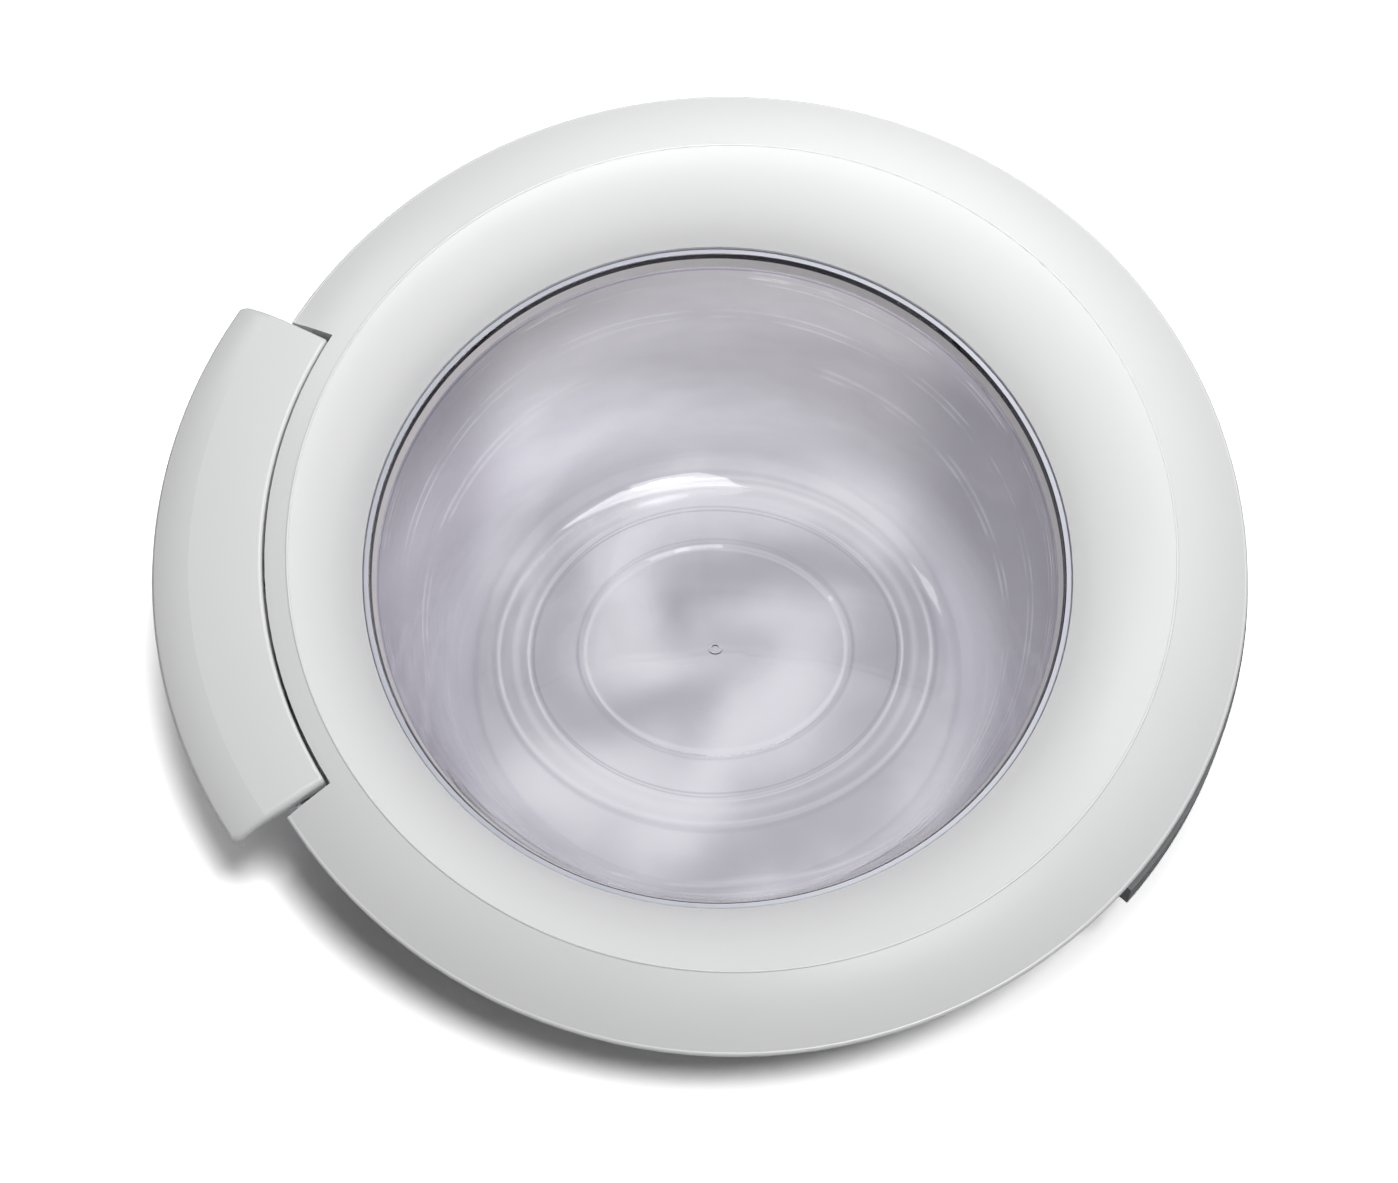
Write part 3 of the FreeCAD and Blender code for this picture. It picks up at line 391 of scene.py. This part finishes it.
def ground_glass(name):
    """Smooth lavender edge of the bowl, which shows no more than a sheen."""
    finish = Finish(name)
    clouds = finish.noise(scale=30.0, detail=3.0)
    shader = finish.coat({
        "Base Color": finish.blend(clouds, EDGE_DARK, EDGE_PALE),
        "Roughness": 0.24 + 0.10 * clouds,
        "IOR": REFRACTION,
    })
    return finish.done(shader)


FINISHES = {
    "white_plastic": plastic("white_plastic", level=0.78, rough=0.30, warm=-0.004),
    "inner_plastic": plastic("inner_plastic", level=0.72, rough=0.38),
    "bowl_glass": glass("bowl_glass"),
    "bowl_edge": ground_glass("bowl_edge"),
    "seal_rubber": rubber("seal_rubber", level=0.22),
    "buffer_rubber": rubber("buffer_rubber", level=0.16),
    "screw_steel": metal("screw_steel", level=0.62, rough=0.30),
    "pin_steel": metal("pin_steel", level=0.66, rough=0.22),
    "spring_steel": metal("spring_steel", level=0.58, rough=0.28),
    "hook_metal": metal("hook_metal", level=0.60, rough=0.34),
    "plate_steel": metal("plate_steel", level=0.60, rough=0.36, warm=0.02),
    "dark_metal": metal("dark_metal", level=0.10, rough=0.42, warm=-0.03),
    "leaf_metal": metal("leaf_metal", level=0.46, rough=0.58),
    "bush_plastic": plastic("bush_plastic", level=0.30, rough=0.4),
}


def dress_nodes():
    """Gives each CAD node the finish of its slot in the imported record."""
    for row in frame["record"]["subparts"]:
        mesh = frame["nodes"][row["node"]].data
        mesh.materials.clear()
        mesh.materials.append(FINISHES[row["material_slot"]])


def put(name, data):
    """New object in the scene."""
    thing = bpy.data.objects.new(name, data)
    bpy.context.scene.collection.objects.link(thing)
    return thing


def bowl_profile(angle):
    """Section of the bowl at an angle round its axis, from the middle of its inside up, over and down."""
    taper = math.tan(BOWL_TAPER)
    slope = math.tan(BOWL_SLANT) * math.sin(angle)
    across = Vector((math.cos(angle), math.sin(angle), 0))
    slant_up = Vector((0, math.sin(BOWL_SLANT), math.cos(BOWL_SLANT)))
    wall_out = across * math.cos(BOWL_TAPER) - Vector((0, 0, math.sin(BOWL_TAPER)))
    inside_depth = BOWL_DEPTH - GLASS_WALL / math.cos(BOWL_SLANT)

    # Centre of the rounding between the wall and the bottom
    lift = BOWL_ROUND / math.cos(BOWL_SLANT) - inside_depth
    reach = MOUTH_R - BOWL_ROUND / math.cos(BOWL_TAPER) + taper * (lift - FLANGE_TOP)
    reach /= 1 + taper * slope
    ball = across * reach + Vector((0, 0, lift - reach * slope))

    def rounding(radius):
        turn = wall_out.angle(-slant_up)
        down = (-slant_up - wall_out * math.cos(turn)).normalized()
        for step in range(ROUND_STEPS + 1):
            part = turn * step / ROUND_STEPS
            yield ball + radius * (wall_out * math.cos(part) + down * math.sin(part))

    def at(out, up):
        return across * out + Vector((0, 0, up))

    inner = list(rounding(BOWL_ROUND))
    outer = list(rounding(BOWL_ROUND + GLASS_WALL))

    low_in = Vector((0, 0, -inside_depth))
    towards = (inner[-1] - low_in).normalized()
    figure = [(0.0, -DISH_DEPTH), (MARK_R / 2, -DISH_DEPTH), (MARK_R / 2, 0.0), (MARK_R, 0.0),
              (MARK_R, -DISH_DEPTH), (2 * MARK_R, -DISH_DEPTH), (DISH_R - 2 * DISH_SLOPE, -DISH_DEPTH),
              (DISH_R - DISH_SLOPE, -DISH_DEPTH), (DISH_R, 0.0), (DISH_R + DISH_SLOPE, 0.0)]
    points = [low_in + towards * out + slant_up * up for out, up in figure]
    points.append(inner[-1] - towards * DISH_SLOPE)
    points += reversed(inner)

    top = FLANGE_TOP + MOUTH_RISE
    wall_rise = top - MOUTH_ROUND - inner[0].z
    for step in range(1, ROUND_STEPS):
        up = inner[0].z + wall_rise * step / ROUND_STEPS
        points.append(at(MOUTH_R + (up - FLANGE_TOP) * taper, up))

    ease = MOUTH_EASE * MOUTH_ROUND
    mouth_top = MOUTH_R + MOUTH_RISE * taper
    wall_foot = MOUTH_R + GLASS_WALL / math.cos(BOWL_TAPER) + (FLANGE_LOW - FLANGE_TOP) * taper
    rim = [(mouth_top + ease, top - ease), (mouth_top + MOUTH_ROUND, top),
           (MOUTH_OUT_R - MOUTH_ROUND, top), (MOUTH_OUT_R - ease, top - ease),
           (MOUTH_OUT_R, top - MOUTH_ROUND), (MOUTH_OUT_R, FLANGE_TOP), (FLANGE_R, FLANGE_TOP),
           (FLANGE_R, FLANGE_LOW), (wall_foot, FLANGE_LOW)]
    points += [at(out, up) for out, up in rim]

    foot = points[-1]
    points += [foot.lerp(outer[0], step / ROUND_STEPS) for step in range(1, ROUND_STEPS)]
    points += outer
    low_out = Vector((0, 0, -BOWL_DEPTH))
    points.append(outer[-1] + (low_out - outer[-1]).normalized() * DISH_SLOPE)
    points.append(low_out)
    return points


def make_bowl():
    """Pressed glass bowl, finer than the CAD mesh, in the same place."""
    rows = [bowl_profile(2 * math.pi * step / BOWL_STEPS) for step in range(BOWL_STEPS)]
    span = len(rows[0]) - 2
    points = [rows[0][0]]
    for row in rows:
        points += row[1:-1]
    points.append(rows[0][-1])
    faces = []
    for step in range(BOWL_STEPS):
        here = 1 + step * span
        there = 1 + (step + 1) % BOWL_STEPS * span
        faces.append((0, here, there))
        for up in range(span - 1):
            faces.append((here + up, here + up + 1, there + up + 1, there + up))
        faces.append((here + span - 1, len(points) - 1, there + span - 1))
    mesh = bpy.data.meshes.new("bowl")
    place = LAID @ Matrix.Translation((WINDOW_X, 0, 0))
    mesh.from_pydata([place @ point for point in points], [], faces)
    mesh.shade_smooth()
    mesh.set_sharp_from_angle(angle=SHARP_EDGE)
    mesh.materials.append(FINISHES["bowl_glass"])
    mesh.materials.append(FINISHES["bowl_edge"])
    land = (MOUTH_R + MOUTH_OUT_R) / 2
    for face in mesh.polygons:
        middle = place.inverted() @ face.center
        if middle.z > FLANGE_TOP + MOUTH_RISE - MOUTH_ROUND and middle.xy.length > land:
            face.material_index = 1
    bowl = put("bowl", mesh)
    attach(bowl, "door")
    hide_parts("glass_bowl")


def make_crease():
    """Bead along the crease of the ring, rounder than the CAD mesh, in the same place."""
    points, faces = [], []
    for step in range(CREASE_STEPS):
        angle = 2 * math.pi * step / CREASE_STEPS
        here, there = step * BEAD_STEPS, (step + 1) % CREASE_STEPS * BEAD_STEPS
        for turn in range(BEAD_STEPS):
            part = 2 * math.pi * turn / BEAD_STEPS
            out = CREASE_R + CREASE_BEAD * math.cos(part)
            up = CREASE_UP + CREASE_BEAD * math.sin(part)
            points.append(LAID @ Vector((out * math.cos(angle), out * math.sin(angle), up)))
            then = (turn + 1) % BEAD_STEPS
            faces.append((here + turn, there + turn, there + then, here + then))
    mesh = bpy.data.meshes.new("crease_bead")
    mesh.from_pydata(points, [], faces)
    mesh.shade_smooth()
    mesh.materials.append(FINISHES["white_plastic"])
    bead = put("crease_bead", mesh)
    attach(bead, "door")


def make_floor():
    """Pale floor that is white where it is seen and keeps the shadow of the door; near the door its seen tone is
    painted darker, a painted shade that deepens that shadow.
    """
    finish = Finish("pale_floor")
    direct = 1.0 - finish.ray("Diffuse Depth")
    through = direct * finish.ray("Is Transmission Ray")
    away = finish.length(finish.place())
    # Painted shade: the seen tone is lower near the door
    near_shade_tone = finish.blend(away.over(*FLOOR_FADE), grey(FLOOR_SHADE_NEAR), grey(FLOOR_FAR))
    tone = finish.blend(finish.ray("Is Camera Ray"), grey(FLOOR_LEVEL), near_shade_tone)
    tone = finish.blend(through, tone, grey(FLOOR_UNDER_GLASS))
    lit = finish.add("ShaderNodeBsdfDiffuse", None, {"Color": tone})
    white = finish.add("ShaderNodeEmission", None, {"Color": grey(1.0), "Strength": 1.0})
    mesh = bpy.data.meshes.new("floor")
    corners = ((-1, -1), (1, -1), (1, 1), (-1, 1))
    points = [(x * FLOOR_HALF, y * FLOOR_HALF, -FLOOR_GAP) for x, y in corners]
    mesh.from_pydata(points, [], [(0, 1, 2, 3)])
    mesh.materials.append(finish.done(finish.mix(FLOOR_THROUGH * through, lit, white)))
    floor = put("floor", mesh)


def make_world():
    """Studio light that comes from above, fades towards the horizon and is white where it is seen."""
    finish = Finish("studio", bpy.data.worlds)
    place = finish.add("ShaderNodeTexCoord", output="Generated")
    level = SKY_LOW + (SKY_HIGH - SKY_LOW) * finish.part(place, "Z").over(*SKY_RISE)
    light = finish.add("ShaderNodeBackground", None, {"Color": SKY_TONE, "Strength": level})
    white = finish.add("ShaderNodeBackground", None, {"Color": grey(1.0), "Strength": 1.0})
    seen = finish.ray("Is Camera Ray") + finish.ray("Is Glossy Ray") + finish.ray("Is Transmission Ray")
    bpy.context.scene.world = finish.done(finish.mix(seen, light, white), "ShaderNodeOutputWorld")


def make_lamp(name, place, width, power):
    """Square soft box of that width, turned to the middle of the door."""
    lamp = bpy.data.lights.new(name, "AREA")
    lamp.size = width
    lamp.energy = power
    box = put(name, lamp)
    box.location = place
    box.rotation_euler = (LIT_POINT - Vector(place)).to_track_quat("-Z", "Y").to_euler()


def make_sun(place, spread, strength):
    """Even light from one side, softened over that angle."""
    lamp = bpy.data.lights.new("daylight", "SUN")
    lamp.energy = strength
    lamp.angle = math.radians(spread)
    sun = put("daylight", lamp)
    sun.rotation_euler = (-Vector(place)).to_track_quat("-Z", "Y").to_euler()


def make_camera():
    """Camera at the photograph's place, worked out about the middle of the ring."""
    back = Vector((0, -math.cos(VIEW_HEIGHT), math.sin(VIEW_HEIGHT)))
    right = Vector((1, 0, 0))
    up = back.cross(right)
    level = right * math.cos(VIEW_ROLL) + up * math.sin(VIEW_ROLL)
    upright = up * math.cos(VIEW_ROLL) - right * math.sin(VIEW_ROLL)
    eye = back * VIEW_DISTANCE - level * VIEW_RIGHT - upright * VIEW_UP
    turn = LAID @ Matrix.Rotation(VIEW_TURN, 4, "Z")
    data = bpy.data.cameras.new("camera")
    data.sensor_width = SENSOR
    data.lens = FOCAL_PIXELS * SENSOR / IMAGE_WIDTH
    camera = put("camera", data)
    axes = Matrix((level, upright, back)).transposed().to_4x4()
    camera.matrix_world = turn @ Matrix.Translation(eye) @ axes
    bpy.context.scene.camera = camera


dress_nodes()
make_bowl()
make_crease()
make_floor()
make_world()
make_sun((0.20, -0.41, 1.0), spread=12.0, strength=1.44)
make_lamp("key", (0.08, 0.0, 0.50), width=0.22, power=0.71)
make_lamp("front", (0.10, -0.20, 0.60), width=0.22, power=0.55)
make_lamp("left", (-0.6, 0.5, 0.9), width=0.3, power=0.8)
make_camera()
bpy.context.scene.view_settings.view_transform = "Standard"
